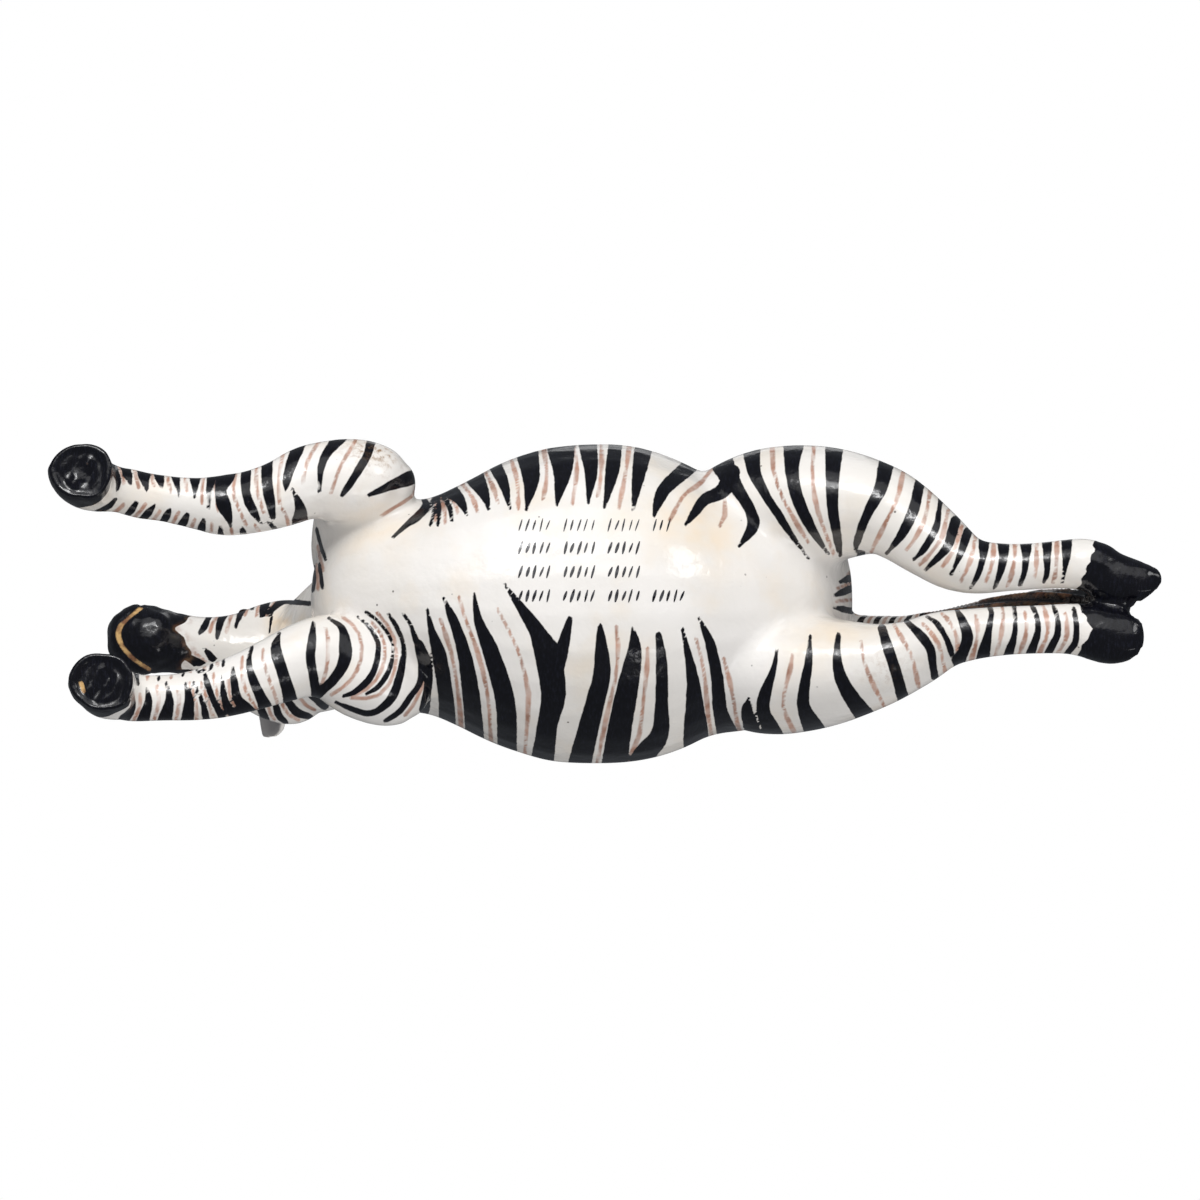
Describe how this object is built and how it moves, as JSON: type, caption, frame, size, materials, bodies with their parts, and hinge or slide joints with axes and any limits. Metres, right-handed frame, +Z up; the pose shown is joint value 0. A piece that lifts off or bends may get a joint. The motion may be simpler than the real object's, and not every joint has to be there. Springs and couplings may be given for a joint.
{
  "type": "zebra figurine",
  "caption": "Glazed ceramic zebra at full gallop, forelegs thrown forward and hind legs trailing, standing low on its hooves with the belly clear of the table.",
  "frame": {"origin": "on the table, under the middle of the figure's box", "axes": "+X from the head to the hind hooves, +Y to the zebra's right side, +Z up"},
  "size_m": [0.3468, 0.1062, 0.167],
  "materials": {
    "ivory_glaze": "clear gloss glaze over hand-painted black stripes"
  },
  "bodies": {
    "root": {"zebra": "ivory_glaze"}
  },
  "joints": []
}
